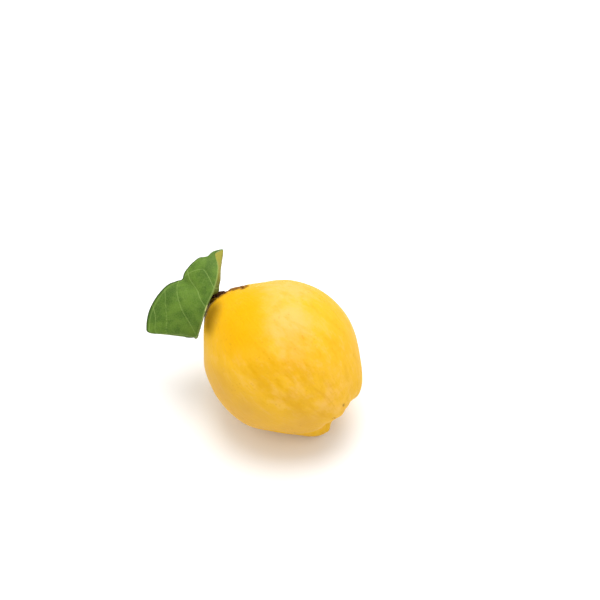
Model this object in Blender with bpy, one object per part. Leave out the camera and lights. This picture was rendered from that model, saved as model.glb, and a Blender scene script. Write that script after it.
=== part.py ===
"""A ripe quince as picked, lying on its side: the fruit, its stub of stalk, one leaf and its dried calyx.

Metres, +Z up. The origin is the middle of the small flat spot that the fruit rests on.
The shapes are worked out round the middle of the fruit, and an empty then sets them down on the flat spot.
"""

from math import acos, atan2, cos, exp, pi, radians, sin

import bmesh
import bpy
from mathutils import Matrix, Vector

# ---- the fruit: a ball changed by smooth swellings, as shares of its mean radius ----
MEAN_RADIUS = 0.0442
RINGS, SECTORS = 42, 72
STEM_SHIFT = 0.040  # the stem half is a little longer than the calyx half
NECK_HEIGHT, NECK_SPREAD = 0.165, radians(21)  # the blunt neck that carries the stalk
NECK_LEAN, NECK_SIDE = radians(10.8), radians(-55)
BELLY_WAVES = ((1, 0.018, radians(-123)), (2, 0.031, radians(56)), (3, 0.011, radians(-114)))
BASIN_DEPTH, BASIN_SPREAD = 0.23, radians(15)  # the hollow round the calyx
RIM_ANGLE = radians(160)  # from the stem pole to the crest of the rim
RIB_FADE, RIM_FADE, POLE_FADE = radians(22), radians(12.6), radians(6)
# the five ribs that end as lobes round the calyx: where each stands, its height
LOBES = ((10, 0.135), (71, 0.118), (175, 0.120), (225, 0.219), (318, 0.085))
LOBE_TIGHTNESS = 7.2
# corky knobs round the stalk: angle off the pole, where each stands, height, spread
KNOBS = ((7, -95, 0.028, 5.0), (5, 85, 0.020, 4.0), (17, 78, 0.008, 7.0), (11, 178, 0.020, 5.5))
# shallow dents, and low swellings between them, in the same terms
DENTS = ((11, 70, -0.014, 5.0), (8, 8, -0.012, 5.0), (8, -45, -0.045, 5.0), (22, -77, -0.012, 7.0),
         (31, -82, -0.008, 8.0), (24, 90, -0.022, 15.0), (53, -90, 0.014, 9.0), (130, -82, -0.055, 10.5),
         (125, 83, -0.008, 9.0), (163, -152, 0.018, 5.0), (158, -8, 0.010, 5.0), (157, 41, 0.012, 5.0))
PIT_DEPTH, PIT_SPREAD = 0.060, radians(5.5)  # the dimple that the stalk stands in

# ---- how the fruit lies ----
STEM_HEADING, STEM_RISE, ROLL = radians(142.5), radians(30.8), radians(147.2)
FLAT_DEPTH = 0.0010

# ---- the leaf, on axes of its own: X to the right, Y up its face, Z out of its face ----
FACE_TILT = radians(43)
LEAF_ROOT = Vector((-0.0390, 0.0260, 0.0270))  # where the petiole leaves the stalk, from the fruit's middle
BLADE_THICKNESS = 0.0008
BLADE_STEPS, HALF_STEPS = 30, 9
MM = 0.001
# the midrib from the blade's base to its tip, in mm
MIDRIB = ((-10.2, -25.0, 2.5), (-8.2, -19.0, 6.8), (-6.1, -13.0, 10.0), (-3.8, -6.5, 12.0), (-0.9, 0.0, 12.2),
          (0.9, 6.0, 10.8), (1.6, 11.6, 8.6), (1.3, 15.4, 6.2), (-0.1, 19.4, 3.0), (-0.8, 21.6, 1.4),
          (0.8, 23.1, 0.2), (3.8, 24.4, -1.5))
# the margin of the open half: along the broad base, round the side, past the notch and up to the tip
OPEN_MARGIN = ((-10.2, -25.0, 2.5), (-17.5, -24.7, 2.0), (-28.5, -23.4, 3.5), (-37.2, -22.4, 5.0),
               (-38.6, -19.5, 5.5), (-37.2, -11.0, 6.5), (-33.2, -3.0, 6.0), (-27.2, 3.8, 4.5),
               (-22.0, 6.2, 2.5), (-18.6, 7.4, 1.5), (-17.3, 11.0, 2.5), (-14.4, 14.9, 3.2),
               (-11.5, 17.7, 3.4), (-9.2, 19.4, 3.2), (-6.4, 19.9, 2.8), (-4.2, 20.4, 2.2),
               (-2.6, 22.0, 1.4), (-1.2, 23.1, 0.9), (1.2, 23.9, -0.2), (3.8, 24.4, -1.5))
# the line where the other half turns over behind the first, and the margin of that half
FOLD_EDGE = ((-10.2, -25.0, 2.5), (-7.8, -19.0, 6.2), (-5.5, -13.0, 8.8), (-2.8, -6.5, 10.4),
             (1.5, -0.5, 10.2), (2.4, 5.0, 8.4), (2.7, 8.5, 6.0), (2.6, 12.0, 4.0), (2.8, 16.4, 2.0),
             (3.2, 20.4, 0.0), (3.6, 22.8, -0.8), (3.8, 24.4, -1.5))
BACK_MARGIN = ((-10.2, -25.0, 2.5), (-18.0, -25.0, -3.0), (-26.0, -20.0, -11.0), (-27.0, -10.0, -17.0),
               (-20.0, 0.0, -19.5), (-9.0, 7.0, -17.5), (0.5, 14.0, -12.5), (3.3, 20.5, -6.5),
               (3.8, 24.4, -1.5))
TURN_SHARE = 0.3  # how much of the back half lies before it turns over
TURN_FROM, TURN_TO = 0.62, 0.74  # below the first it hangs straight back, above the second it turns over
LINE_POINTS = 120
OPEN_ARCH, BACK_HANG = 1.2, 6.0  # how far each half bows between the midrib and its margin, in mm
MARGIN_WAVE, WAVE_TURNS = 0.5, 9  # the waves along the open margin, in mm
# the petiole, from the stalk down behind the blade and round into the midrib, in mm
PETIOLE = ((-2.5, -1.6, -1.2), (-4.8, -4.8, -2.2), (-7.4, -11.5, -3.2), (-10.0, -18.5, -2.6),
           (-11.4, -23.4, -1.0), (-11.0, -25.4, 1.2), (-10.0, -23.6, 3.2))
PETIOLE_RADIUS, MIDRIB_RADIUS, TIP_RADIUS = 0.0010, 0.0008, 0.00045
RIB_SIDES, RIB_STEPS = 8, 22
RIB_SHARE = 0.86  # how far up the blade the midrib stands proud

# ---- the stalk: a stub of woody spur, on the leaf's axes too, in mm ----
STALK_END = (-0.9, -1.1, -1.2)
STALK_RADII = (0.00090, 0.00100, 0.00105, 0.00105, 0.00105, 0.00105)
STALK_LIFT, KNEE_LIFT, KNEE_SIDE = 0.0012, 0.0002, 0.0008  # it leaves the dimple and lies down along the neck

# ---- the calyx: a button of dried tissue with five sepals and the old stamens ----
GAP = 0.0003
BUTTON_REACH, BUTTON_HEIGHT = 0.10, 0.0026  # the reach is an angle at the fruit's middle
SEPAL_HALF_WIDTH, SEPAL_THICKNESS = 0.0027, 0.0007
SEPAL_START, SEPAL_LIFT, TIP_LIFT = 0.05, 0.0022, 0.0014  # where a sepal starts, how high it and its tip lie
# where each stands, how far it reaches
SEPALS = ((-12, 0.21), (46, 0.23), (116, 0.20), (190, 0.22), (265, 0.21))
SEPAL_STEPS = 9
STAMENS, STAMEN_RADIUS, STAMEN_HEIGHT = 11, 0.00038, 0.0052


def curve_through(corners, count):
    """count points, evenly spaced, on a smooth curve through the corners."""
    corners = [Vector(corner) for corner in corners]
    ends = [2 * corners[0] - corners[1]] + corners + [2 * corners[-1] - corners[-2]]
    fine = []
    for i in range(1, len(corners)):
        before, start, end, after = ends[i - 1:i + 3]
        for j in range(24):
            t = j / 24
            fine.append(0.5 * (2 * start + (end - before) * t
                               + (2 * before - 5 * start + 4 * end - after) * t ** 2
                               + (3 * start - before - 3 * end + after) * t ** 3))
    fine.append(corners[-1])
    run = [0.0]
    for a, b in zip(fine, fine[1:]):
        run.append(run[-1] + (b - a).length)
    points, i = [], 0
    for k in range(count):
        want = run[-1] * k / (count - 1)
        while i < len(run) - 2 and run[i + 1] < want:
            i += 1
        points.append(fine[i].lerp(fine[i + 1], (want - run[i]) / (run[i + 1] - run[i])))
    return points


def at_share(points, share):
    """The point at this share of an evenly spaced run of points."""
    place = min(max(share, 0.0), 1.0) * (len(points) - 1)
    i = min(int(place), len(points) - 2)
    return points[i].lerp(points[i + 1], place - i)


def bump(angle, spread):
    return exp(-(angle / spread) ** 2)


def smooth_step(low, high, value):
    """0 below low, 1 above high, and an S-shaped rise between them."""
    share = min(max((value - low) / (high - low), 0.0), 1.0)
    return share * share * (3 - 2 * share)


def angle_between(a, b):
    return acos(min(max(a.dot(b), -1.0), 1.0))


def direction(from_stem, side):
    """The unit vector at an angle from the stem pole (+Z), on one side of the fruit."""
    return Vector((sin(from_stem) * cos(side), sin(from_stem) * sin(side), cos(from_stem)))


def skin_radius(way):
    """How far the skin is from the fruit's middle, along a unit vector."""
    from_stem = acos(min(max(way.z, -1.0), 1.0))
    side = atan2(way.y, way.x)
    share = 1 + STEM_SHIFT * way.z
    share += NECK_HEIGHT * bump(angle_between(way, direction(NECK_LEAN, NECK_SIDE)), NECK_SPREAD)
    share -= BASIN_DEPTH * bump(pi - from_stem, BASIN_SPREAD)
    for count, height, turn in BELLY_WAVES:
        share += height * sin(from_stem) ** 2 * cos(count * side - turn)
    fade = bump(from_stem - RIM_ANGLE, RIB_FADE if from_stem < RIM_ANGLE else RIM_FADE)
    fade *= 1 - bump(pi - from_stem, POLE_FADE)
    for place, height in LOBES:
        share += height * fade * exp(LOBE_TIGHTNESS * (cos(side - radians(place)) - 1))
    for off_pole, place, height, spread in KNOBS + DENTS:
        spot = direction(radians(off_pole), radians(place))
        share += height * bump(angle_between(way, spot), radians(spread))
    share -= PIT_DEPTH * bump(from_stem, PIT_SPREAD)
    return MEAN_RADIUS * share


def fruit_turn():
    """Turns the upright fruit into the way that it lies."""
    return (Matrix.Rotation(STEM_HEADING, 3, "Z") @ Matrix.Rotation(pi / 2 - STEM_RISE, 3, "Y")
            @ Matrix.Rotation(ROLL, 3, "Z"))


def leaf_point(x, y, z):
    """A point on the leaf's axes, given in mm, as a place round the fruit's middle."""
    return LEAF_ROOT + Matrix.Rotation(FACE_TILT, 3, "X") @ (Vector((x, y, z)) * MM)


def add_object(name, data):
    thing = bpy.data.objects.new(name, data)
    bpy.context.scene.collection.objects.link(thing)
    return thing


def finish(thing, material):
    """Gives a sub-part its material and smooth shading."""
    thing.data.materials.clear()
    thing.data.materials.append(material)
    thing.data.shade_smooth()
    thing.data.set_sharp_from_angle(angle=radians(50))
    return thing


def mesh_of(shape, name):
    mesh = bpy.data.meshes.new(name)
    shape.to_mesh(mesh)
    shape.free()
    return mesh


def tube(name, points, radii):
    """A solid rod of changing radius along the points."""
    line = bpy.data.curves.new(name, "CURVE")
    line.dimensions = "3D"
    line.bevel_depth = 1.0
    line.bevel_resolution = (RIB_SIDES - 4) // 2
    line.use_fill_caps = True
    spline = line.splines.new("POLY")
    spline.points.add(len(points) - 1)
    for knot, point, radius in zip(spline.points, points, radii):
        knot.co = (*point, 1.0)
        knot.radius = radius
    rod = add_object("guide", line)
    mesh = bpy.data.meshes.new_from_object(rod)
    bpy.data.objects.remove(rod)
    shape = bmesh.new()
    shape.from_mesh(mesh)
    bmesh.ops.remove_doubles(shape, verts=shape.verts, dist=1e-6)
    bmesh.ops.recalc_face_normals(shape, faces=shape.faces)
    return add_object(name, mesh_of(shape, name))


def fuse(body, pieces):
    """Joins the pieces into the body, so that the sub-part is one closed solid."""
    group = bpy.data.collections.new("pieces")
    for piece in pieces:
        group.objects.link(piece)
    union = body.modifiers.new("union", "BOOLEAN")
    union.operation = "UNION"
    union.operand_type = "COLLECTION"
    union.collection = group
    joined = bpy.data.meshes.new_from_object(body.evaluated_get(bpy.context.evaluated_depsgraph_get()))
    for piece in pieces:
        bpy.data.objects.remove(piece)
    bpy.data.collections.remove(group)
    body.modifiers.clear()
    body.data = joined


def plain_material(name, colour, roughness):
    material = bpy.data.materials.new(name)
    material.use_nodes = True
    shader = material.node_tree.nodes["Principled BSDF"]
    shader.inputs["Base Color"].default_value = (*colour, 1.0)
    shader.inputs["Roughness"].default_value = roughness
    shader.inputs["Metallic"].default_value = 0.0
    material.diffuse_color = (*colour, 1.0)
    return material


def build_fruit(material):
    """The fruit, and the middle of its flat spot."""
    shape = bmesh.new()
    bmesh.ops.create_uvsphere(shape, u_segments=SECTORS, v_segments=RINGS, radius=1.0)
    turn = fruit_turn()
    for vert in shape.verts:
        way = vert.co.normalized()
        from_stem = acos(min(max(way.z, -1.0), 1.0))
        # rings stand closer together at the neck and in the basin
        way = direction(from_stem - 0.14 * sin(2 * from_stem), atan2(way.y, way.x))
        vert.co = turn @ (way * skin_radius(way))
    floor = min(vert.co.z for vert in shape.verts) + FLAT_DEPTH
    everything = shape.verts[:] + shape.edges[:] + shape.faces[:]
    bmesh.ops.bisect_plane(shape, geom=everything, dist=1e-6, plane_co=(0, 0, floor),
                           plane_no=(0, 0, -1), clear_outer=True)
    cut = [edge for edge in shape.edges if edge.is_boundary]
    spot = bmesh.ops.contextual_create(shape, geom=cut)["faces"][0]
    middle = spot.calc_center_median_weighted()
    bmesh.ops.triangulate(shape, faces=[spot])
    bmesh.ops.recalc_face_normals(shape, faces=shape.faces)
    return finish(add_object("fruit", mesh_of(shape, "fruit")), material), middle


def build_stalk(material):
    """The stub of woody spur, from the dimple at the stem end to where the petiole leaves it."""
    pole = direction(0.0, 0.0)
    out = fruit_turn() @ pole
    root = out * (skin_radius(pole) + STALK_LIFT)
    knee = root + KNEE_LIFT * out - Vector((KNEE_SIDE, 0, 0))
    stalk = tube("stalk", curve_through((root, knee, leaf_point(*STALK_END)), len(STALK_RADII)), STALK_RADII)
    return finish(stalk, material)


def blade_point(share, across, midrib, open_margin, fold_edge, back_margin):
    """A point of the blade: share runs from base to tip, across from the back margin (-1) to the open (1)."""
    spine = at_share(midrib, share ** 2)
    if across >= 0:
        edge = at_share(open_margin, share ** 0.85)
        place = spine.lerp(edge, across)
        arch = 4 * across * (1 - across)
        place.z += OPEN_ARCH * arch * sin(pi * share)
        place.z += MARGIN_WAVE * sin(WAVE_TURNS * pi * share) * across ** 2 * sin(pi * share)
        return place
    away = -across
    fold, edge = at_share(fold_edge, share ** 2), at_share(back_margin, share)
    straight = spine.lerp(edge, away)
    straight.z -= BACK_HANG * away * (1 - away) * sin(pi * share)
    # a quarter of an oval from the midrib to the fold's edge, then a softer bend from there to the margin
    if away < TURN_SHARE:
        angle = pi / 2 * away / TURN_SHARE
        turned = spine.lerp(fold, sin(angle))
        turned.z = spine.z + (fold.z - spine.z) * (1 - cos(angle))
    else:
        beyond = (away - TURN_SHARE) / (1 - TURN_SHARE)
        turned = fold.lerp(edge, beyond)
        turned.z = fold.z + (edge.z - fold.z) * sin(pi / 2 * beyond)
    return straight.lerp(turned, smooth_step(TURN_FROM, TURN_TO, share))


def build_leaf(material):
    """The folded blade, with its midrib and petiole."""
    lines = [curve_through(line, LINE_POINTS) for line in (MIDRIB, OPEN_MARGIN, FOLD_EDGE, BACK_MARGIN)]
    midrib = lines[0]
    shape = bmesh.new()
    columns = 2 * HALF_STEPS + 1
    rows = []
    for i in range(1, BLADE_STEPS):
        row = []
        for j in range(columns):
            place = blade_point(i / BLADE_STEPS, j / HALF_STEPS - 1, *lines)
            row.append(shape.verts.new(leaf_point(*place)))
        rows.append(row)
    base = shape.verts.new(leaf_point(*midrib[0]))
    tip = shape.verts.new(leaf_point(*midrib[-1]))
    # the faces look out of the fold, and the blade thickens that way, so the fold's inside stays open
    for low, high in zip(rows, rows[1:]):
        for j in range(columns - 1):
            shape.faces.new((high[j], high[j + 1], low[j + 1], low[j]))
    for j in range(columns - 1):
        shape.faces.new((base, rows[0][j], rows[0][j + 1]))
        shape.faces.new((tip, rows[-1][j + 1], rows[-1][j]))
    bmesh.ops.triangulate(shape, faces=shape.faces)
    blade = add_object("leaf", mesh_of(shape, "leaf"))
    wall = blade.modifiers.new("wall", "SOLIDIFY")
    wall.thickness = BLADE_THICKNESS
    wall.offset = 1

    rib = [leaf_point(*at_share(midrib, RIB_SHARE * k / RIB_STEPS)) for k in range(1, RIB_STEPS + 1)]
    stem = [leaf_point(*place) for place in curve_through(PETIOLE, RIB_STEPS)]
    points = stem[:-1] + rib[1:]
    radii = [PETIOLE_RADIUS] * len(stem[:-1])
    for k in range(len(rib) - 1):
        radii.append(MIDRIB_RADIUS + (TIP_RADIUS - MIDRIB_RADIUS) * k / (len(rib) - 2))
    fuse(blade, [tube("rib", points, radii)])
    return finish(blade, material)


def calyx_place(from_calyx, side, lift):
    """A place above the basin's wall: an angle from the calyx pole, a side, and how far off the skin."""
    way = direction(pi - from_calyx, side)
    return fruit_turn() @ (way * (skin_radius(way) + lift))


def build_sepal(place, reach):
    """A dried sepal that lies up the basin's wall and curls in at its tip."""
    shape = bmesh.new()
    rows = []
    for i in range(SEPAL_STEPS + 1):
        share = i / SEPAL_STEPS
        from_calyx = SEPAL_START + (reach - SEPAL_START) * share
        half = SEPAL_HALF_WIDTH * (0.25 + sin(pi * share ** 0.8) ** 0.8) * (1 - 0.55 * share ** 3)
        lift = SEPAL_LIFT + TIP_LIFT * share ** 2
        row = []
        for across in (-1, 0, 1):
            way = direction(pi - from_calyx, 0)
            side = radians(place) + across * half / (skin_radius(way) * sin(from_calyx) + 0.002)
            row.append(shape.verts.new(calyx_place(from_calyx, side, lift + 0.0005 * abs(across))))
        rows.append(row)
    for low, high in zip(rows, rows[1:]):
        for j in range(2):
            shape.faces.new((low[j], low[j + 1], high[j + 1], high[j]))
    bmesh.ops.triangulate(shape, faces=shape.faces)
    bmesh.ops.recalc_face_normals(shape, faces=shape.faces)
    bmesh.ops.solidify(shape, geom=shape.faces[:], thickness=SEPAL_THICKNESS)
    bmesh.ops.recalc_face_normals(shape, faces=shape.faces)
    return add_object("sepal", mesh_of(shape, "sepal"))


def build_calyx(material):
    """The dried calyx on the floor of the basin."""
    out = fruit_turn() @ Vector((0, 0, -1))
    floor = calyx_place(0.0, 0.0, GAP)
    shape = bmesh.new()
    bmesh.ops.create_uvsphere(shape, u_segments=20, v_segments=10, radius=1.0)
    for vert in shape.verts:
        from_calyx = BUTTON_REACH * vert.co.xy.length
        lift = GAP + 0.0002 + BUTTON_HEIGHT * (1 + vert.co.z) / 2
        vert.co = calyx_place(from_calyx, atan2(vert.co.y, vert.co.x), lift)
    bmesh.ops.recalc_face_normals(shape, faces=shape.faces)
    button = add_object("calyx", mesh_of(shape, "calyx"))
    pieces = [build_sepal(place, reach) for place, reach in SEPALS]
    for k in range(STAMENS):
        side = 2 * pi * k / STAMENS + 0.35 * sin(3.7 * k)
        foot = floor + out * 0.0012 + fruit_turn() @ Vector((cos(side), sin(side), 0)) * 0.0018
        lean = fruit_turn() @ Vector((cos(side + 0.5), sin(side + 0.5), 0)) * (0.0008 + 0.0007 * sin(5 * k))
        head = foot + out * (STAMEN_HEIGHT + 0.0008 * sin(4.1 * k)) + lean
        points = curve_through((foot, foot.lerp(head, 0.5) - lean * 0.3, head), 4)
        pieces.append(tube("stamen", points, [STAMEN_RADIUS * 1.3] + [STAMEN_RADIUS] * 3))
    fuse(button, pieces)
    return finish(button, material)


def main():
    for thing in list(bpy.data.objects):
        bpy.data.objects.remove(thing, do_unlink=True)
    fruit, flat_spot = build_fruit(plain_material("skin", (0.93, 0.54, 0.05), 0.55))
    parts = [
        fruit,
        build_stalk(plain_material("woody_stalk", (0.06, 0.03, 0.015), 0.85)),
        build_leaf(plain_material("leaf_green", (0.13, 0.24, 0.05), 0.6)),
        build_calyx(plain_material("dried_calyx", (0.14, 0.08, 0.04), 0.9)),
    ]
    seat = bpy.data.objects.new("seat", None)
    bpy.context.scene.collection.objects.link(seat)
    seat.location = -flat_spot
    for part in parts:
        part.parent = seat


main()
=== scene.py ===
# %% [markdown]
# # A quince with its leaf
#
# A ripe quince lies on its side, with a stub of stalk and one folded leaf. Its skin is golden and waxy,
# with long pale streaks, and it gathers into five ribs round the dried calyx.
#
# The plain solids of the fruit, the stalk, the leaf and the calyx come from a imported model, which this
# script loads first. Each gets a finer piece that keeps its form and adds what a solid leaves out:
# folds, bark, veins, thin edges and colour. Every cell below makes one thing, and most cells print what they
# made.

# %% Load the plain model
from math import acos, atan2, cos, exp, pi, radians, sin, sqrt

import bmesh
import bpy
from mathutils import Matrix, Vector, noise


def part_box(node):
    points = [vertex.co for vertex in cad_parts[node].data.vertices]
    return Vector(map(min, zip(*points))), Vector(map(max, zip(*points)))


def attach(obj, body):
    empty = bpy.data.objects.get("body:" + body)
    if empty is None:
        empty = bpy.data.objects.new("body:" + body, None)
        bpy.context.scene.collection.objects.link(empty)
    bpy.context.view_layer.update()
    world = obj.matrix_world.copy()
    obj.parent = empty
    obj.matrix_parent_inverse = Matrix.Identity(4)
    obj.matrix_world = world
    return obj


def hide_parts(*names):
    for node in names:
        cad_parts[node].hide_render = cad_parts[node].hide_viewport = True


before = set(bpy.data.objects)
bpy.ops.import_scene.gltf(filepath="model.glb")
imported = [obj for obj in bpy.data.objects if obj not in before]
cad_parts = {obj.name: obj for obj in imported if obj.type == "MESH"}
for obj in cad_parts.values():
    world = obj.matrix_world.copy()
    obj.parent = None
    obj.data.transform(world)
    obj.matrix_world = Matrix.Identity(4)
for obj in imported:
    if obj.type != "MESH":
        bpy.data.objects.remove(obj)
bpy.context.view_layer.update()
print("nodes:", sorted(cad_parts))

# %% [markdown]
# ## The form of the fruit
#
# A quince is a ball with a blunt neck at the stalk and a hollow at the calyx. One formula can say how
# far the skin is from the middle in any direction: each swelling or hollow is a smooth bump of some
# height and spread. The same formula shaped the plain solid, so the finer skin follows it closely.
#
# A direction is given by two angles: how far it is from the stem pole, and on which side of the fruit.

# %% Helpers for directions and bumps
MM = 0.001


def bump(angle, spread):
    """1 in the middle, falling smoothly to nothing over the spread."""
    return exp(-(angle / spread) ** 2)


def smooth_step(low, high, value):
    """0 below low, 1 above high, and an S-shaped rise between them."""
    share = min(max((value - low) / (high - low), 0.0), 1.0)
    return share * share * (3 - 2 * share)


def angle_between(a, b):
    """The angle between two unit vectors."""
    return acos(min(max(a.dot(b), -1.0), 1.0))


def direction(from_stem, side):
    """The unit vector at an angle from the stem pole (+Z), on one side of the fruit."""
    return Vector((sin(from_stem) * cos(side), sin(from_stem) * sin(side), cos(from_stem)))


# %% The sizes of the fruit
MEAN_RADIUS = 0.0442
STEM_SHIFT = 0.040  # the stem half is a little longer than the calyx half
NECK_HEIGHT, NECK_SPREAD = 0.165, radians(21)
NECK_LEAN, NECK_SIDE = radians(10.8), radians(-55)
BELLY_WAVES = ((1, 0.018, radians(-123)), (2, 0.031, radians(56)), (3, 0.011, radians(-114)))
BASIN_DEPTH, BASIN_SPREAD = 0.23, radians(15)
RIM_ANGLE = radians(160)
RIB_FADE, RIM_FADE, POLE_FADE = radians(22), radians(12.6), radians(6)
# the five ribs: where each stands in degrees, and its height
LOBES = ((10, 0.135), (71, 0.118), (175, 0.120), (225, 0.219), (318, 0.085))
LOBE_TIGHTNESS = 7.2
# corky knobs and shallow dents: angle off the stem pole, where each stands, height, spread
KNOBS = ((7, -95, 0.028, 5.0), (5, 85, 0.020, 4.0), (17, 78, 0.008, 7.0), (11, 178, 0.020, 5.5))
DENTS = ((11, 70, -0.014, 5.0), (8, 8, -0.012, 5.0), (8, -45, -0.045, 5.0), (22, -77, -0.012, 7.0),
         (31, -82, -0.008, 8.0), (24, 90, -0.022, 15.0), (53, -90, 0.014, 9.0), (130, -82, -0.055, 10.5),
         (125, 83, -0.008, 9.0), (163, -152, 0.018, 5.0), (158, -8, 0.010, 5.0), (157, 41, 0.012, 5.0))
PIT_DEPTH, PIT_SPREAD = 0.060, radians(5.5)
STEM_HEADING, STEM_RISE, ROLL = radians(142.5), radians(30.8), radians(147.2)


def rib_share(from_stem, side):
    """How much the ribs lift the skin here: 0 in the grooves between them."""
    fade = bump(from_stem - RIM_ANGLE, RIB_FADE if from_stem < RIM_ANGLE else RIM_FADE)
    fade *= 1 - bump(pi - from_stem, POLE_FADE)
    return sum(height * fade * exp(LOBE_TIGHTNESS * (cos(side - radians(place)) - 1))
               for place, height in LOBES)


def skin_radius(way):
    """How far the skin is from the fruit's middle, along a unit vector."""
    from_stem = acos(min(max(way.z, -1.0), 1.0))
    side = atan2(way.y, way.x)
    share = 1 + STEM_SHIFT * way.z
    share += NECK_HEIGHT * bump(angle_between(way, direction(NECK_LEAN, NECK_SIDE)), NECK_SPREAD)
    share -= BASIN_DEPTH * bump(pi - from_stem, BASIN_SPREAD)
    for count, height, turn in BELLY_WAVES:
        share += height * sin(from_stem) ** 2 * cos(count * side - turn)
    share += rib_share(from_stem, side)
    for off_pole, place, height, spread in KNOBS + DENTS:
        spot = direction(radians(off_pole), radians(place))
        share += height * bump(angle_between(way, spot), radians(spread))
    share -= PIT_DEPTH * bump(from_stem, PIT_SPREAD)
    return MEAN_RADIUS * share


LIE = (Matrix.Rotation(STEM_HEADING, 3, "Z") @ Matrix.Rotation(pi / 2 - STEM_RISE, 3, "Y")
       @ Matrix.Rotation(ROLL, 3, "Z"))
stem_way, calyx_way = LIE @ Vector((0, 0, 1)), LIE @ Vector((0, 0, -1))
print("the stem end points to", [round(x, 2) for x in stem_way])

# %% [markdown]
# ## The skin as a mesh
#
# A UV sphere suits this fruit, because its rings and meridians run the way the skin grows: from the
# stalk to the calyx. Every vertex is moved out to the formula's radius, and then by the fine relief of
# a real skin: broad dents, faint furrows along the meridians, puckers that run into the basin, and
# crumbs of cork round the stalk. The fruit rests with its weight on a soft flat spot, so heights near
# the ground are eased up to it instead of being cut off.

# %% The relief of the skin
BROAD_DENT, SMALL_DENT, FURROW, FINE_FURROW = 0.28, 0.10, 0.14, 0.05  # heights in mm
PUCKERS, PUCKER_HEIGHT = 17, 0.45  # how many folds run into the basin, and their height in mm
CORK_SPOTS = ((11, 14, 5.0), (13, 36, 5.8), (18, 45, 5.2))  # angles and spreads in degrees


def cork_share(way, from_stem):
    """1 where the skin has turned to brown cork round the stalk, 0 on clean skin."""
    ragged = 0.30 * noise.noise(way * 26) + 0.16 * noise.noise(way * 61)
    pit = 1 - from_stem / radians(6.0)
    crescent = max(1 - angle_between(way, direction(radians(off_pole), radians(place))) / radians(spread)
                   for off_pole, place, spread in CORK_SPOTS)
    return smooth_step(-0.05, 0.55, max(pit, crescent) + ragged)


def skin_relief(way, from_stem, side):
    """The fine relief of the skin in metres."""
    round_way = Vector((cos(side), sin(side), 0.22 * from_stem))
    middle = sin(from_stem)
    relief = BROAD_DENT * noise.noise(way * 2.6 + Vector((5, 0, 0)))
    relief += SMALL_DENT * noise.noise(way * 7.0)
    relief += FURROW * middle * noise.noise(round_way * 5.0)
    relief += FINE_FURROW * middle * noise.noise(round_way * 14.0)
    in_basin = bump(pi - from_stem - radians(13), radians(9))
    relief += PUCKER_HEIGHT * in_basin * sin(PUCKERS * side + 2.2 * noise.noise(way * 6))
    cork = cork_share(way, from_stem)
    relief += cork * (0.25 + 0.5 * noise.noise(way * 30) + 0.25 * noise.noise(way * 75))
    return relief * MM


def bead(share):
    """Moves the rings closer together at both ends of the fruit, where it has the most detail."""
    return share - 0.14 * sin(2 * share)


# %% Make the skin
SKIN_RINGS, SKIN_SECTORS = 220, 300
SETTLE = 0.5 * MM  # how softly the flat spot starts
GROOVE_HEIGHT = 0.075  # where the ribs lift the skin less than this, it is a groove

# the formula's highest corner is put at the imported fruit's, which says where its middle is
_, fruit_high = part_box("fruit")
sample = [LIE @ (way * skin_radius(way)) for way in
          (direction(pi * i / 90, 2 * pi * j / 180) for i in range(1, 90) for j in range(180))]
MIDDLE = fruit_high - Vector([max(point[k] for point in sample) for k in range(3)])

skin_mesh = bmesh.new()
bmesh.ops.create_uvsphere(skin_mesh, u_segments=SKIN_SECTORS, v_segments=SKIN_RINGS, radius=1.0)
meridian = skin_mesh.verts.layers.float_vector.new("meridian")
cork_layer = skin_mesh.verts.layers.float.new("cork")
groove_layer = skin_mesh.verts.layers.float.new("groove")
for vert in skin_mesh.verts:
    pole_angle = bead(acos(min(max(vert.co.z, -1.0), 1.0)))
    turn = atan2(vert.co.y, vert.co.x)
    way = direction(pole_angle, turn)
    place = MIDDLE + LIE @ (way * (skin_radius(way) + skin_relief(way, pole_angle, turn)))
    place.z = (place.z + sqrt(place.z ** 2 + SETTLE ** 2)) / 2
    vert.co = place
    vert[meridian] = (cos(turn), sin(turn), pole_angle / pi)
    vert[cork_layer] = cork_share(way, pole_angle)
    # the groove attribute marks where the skin's material paints shade into the grooves
    near_rim = bump(pole_angle - RIM_ANGLE + radians(4), radians(13))
    vert[groove_layer] = near_rim * (1 - min(rib_share(pole_angle, turn) / GROOVE_HEIGHT, 1.0))
bmesh.ops.recalc_face_normals(skin_mesh, faces=skin_mesh.faces)


def piece_from(shape, name, *materials):
    """Turns a bmesh into a smooth-shaded object that rides on the model."""
    mesh = bpy.data.meshes.new(name)
    shape.to_mesh(mesh)
    shape.free()
    mesh.shade_smooth()
    piece = bpy.data.objects.new(name, mesh)
    bpy.context.scene.collection.objects.link(piece)
    for material in materials:
        mesh.materials.append(material)
    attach(piece, "root")
    return piece


skin = piece_from(skin_mesh, "quince_skin")
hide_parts("fruit")
print("skin:", len(skin.data.polygons), "faces; the fruit's middle is at",
      [round(1000 * x, 1) for x in MIDDLE], "mm")

# %% [markdown]
# ## Building materials from nodes
#
# Blender's surfaces are small graphs: textures make numbers, and the numbers mix colours and raise
# bumps. A few helpers keep the graphs below short: add_node adds a node and fills its inputs, mix mixes
# two colours, stretch moves one range of numbers onto another, and the rest do sums and textures.

# %% Helpers for materials
def linear(code):
    """A display colour such as F5C33C as the linear numbers that Blender mixes."""
    shares = [int(code[i:i + 2], 16) / 255 for i in (0, 2, 4)]
    return (*((x / 12.92 if x < 0.04045 else ((x + 0.055) / 1.055) ** 2.4) for x in shares), 1.0)


def add_node(tree, kind, inputs=None, **settings):
    """Adds a node; each input is either linked to a socket or set to a value."""
    made = tree.nodes.new(kind)
    for name, value in settings.items():
        setattr(made, name, value)
    for name, value in (inputs or {}).items():
        if isinstance(value, bpy.types.NodeSocket):
            tree.links.new(value, made.inputs[name])
        else:
            made.inputs[name].default_value = value
    return made


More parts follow.
